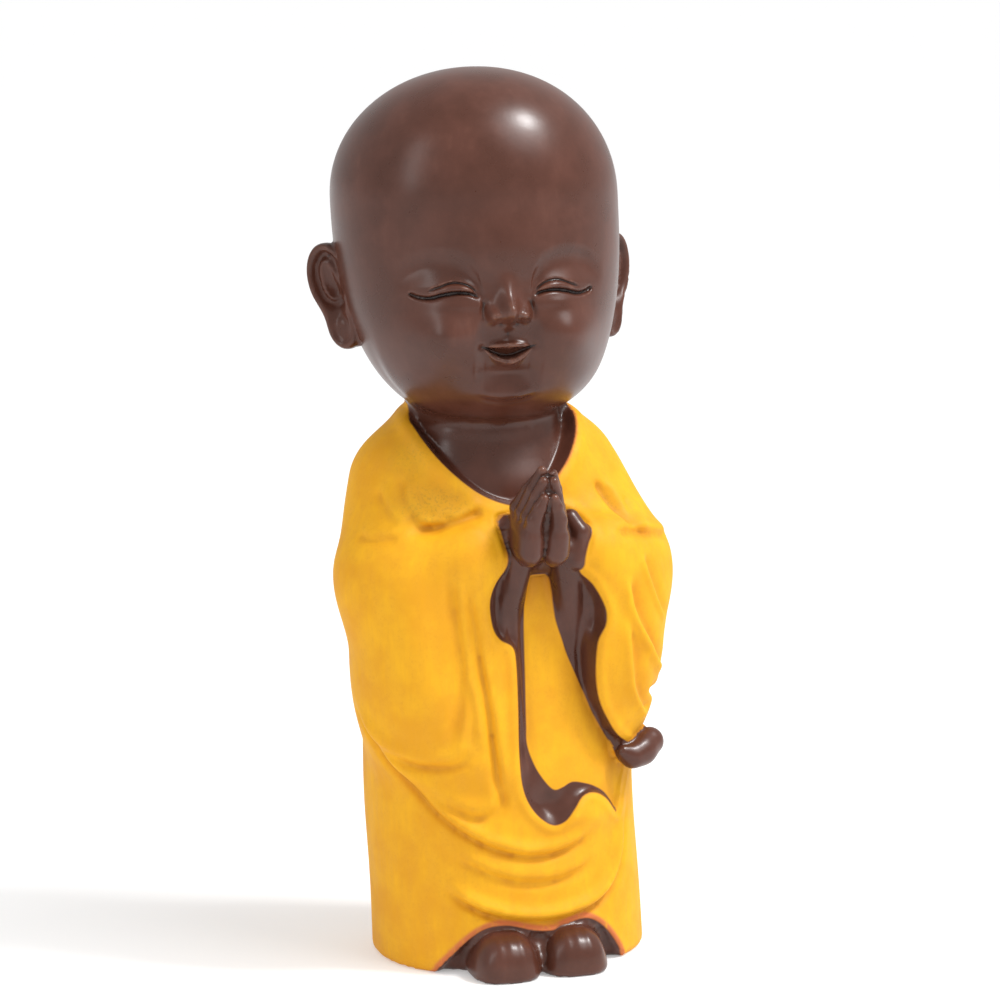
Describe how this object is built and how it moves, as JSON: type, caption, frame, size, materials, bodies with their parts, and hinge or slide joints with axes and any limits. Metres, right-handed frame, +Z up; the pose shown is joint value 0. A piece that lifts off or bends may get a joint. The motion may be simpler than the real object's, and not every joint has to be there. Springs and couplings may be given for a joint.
{
  "type": "monk figurine",
  "caption": "Small standing ornament of a smiling child monk in a long robe with wide sleeves, palms pressed together, resting on its flat underside.",
  "frame": {"origin": "centre of the footprint on the underside, the plane the figurine stands on", "axes": "+Z up along the figure, -Y the way the face looks, -X the figure's own right hand"},
  "size_m": [0.0588, 0.0538, 0.15],
  "materials": {
    "painted_resin": "cast resin: brown satin skin on head, neck, hands, feet and sleeve linings; robe hand-painted in matt yellow acrylic, rubbed to orange along its edges"
  },
  "bodies": {
    "root": {"monk_figurine": "painted_resin"}
  },
  "joints": []
}
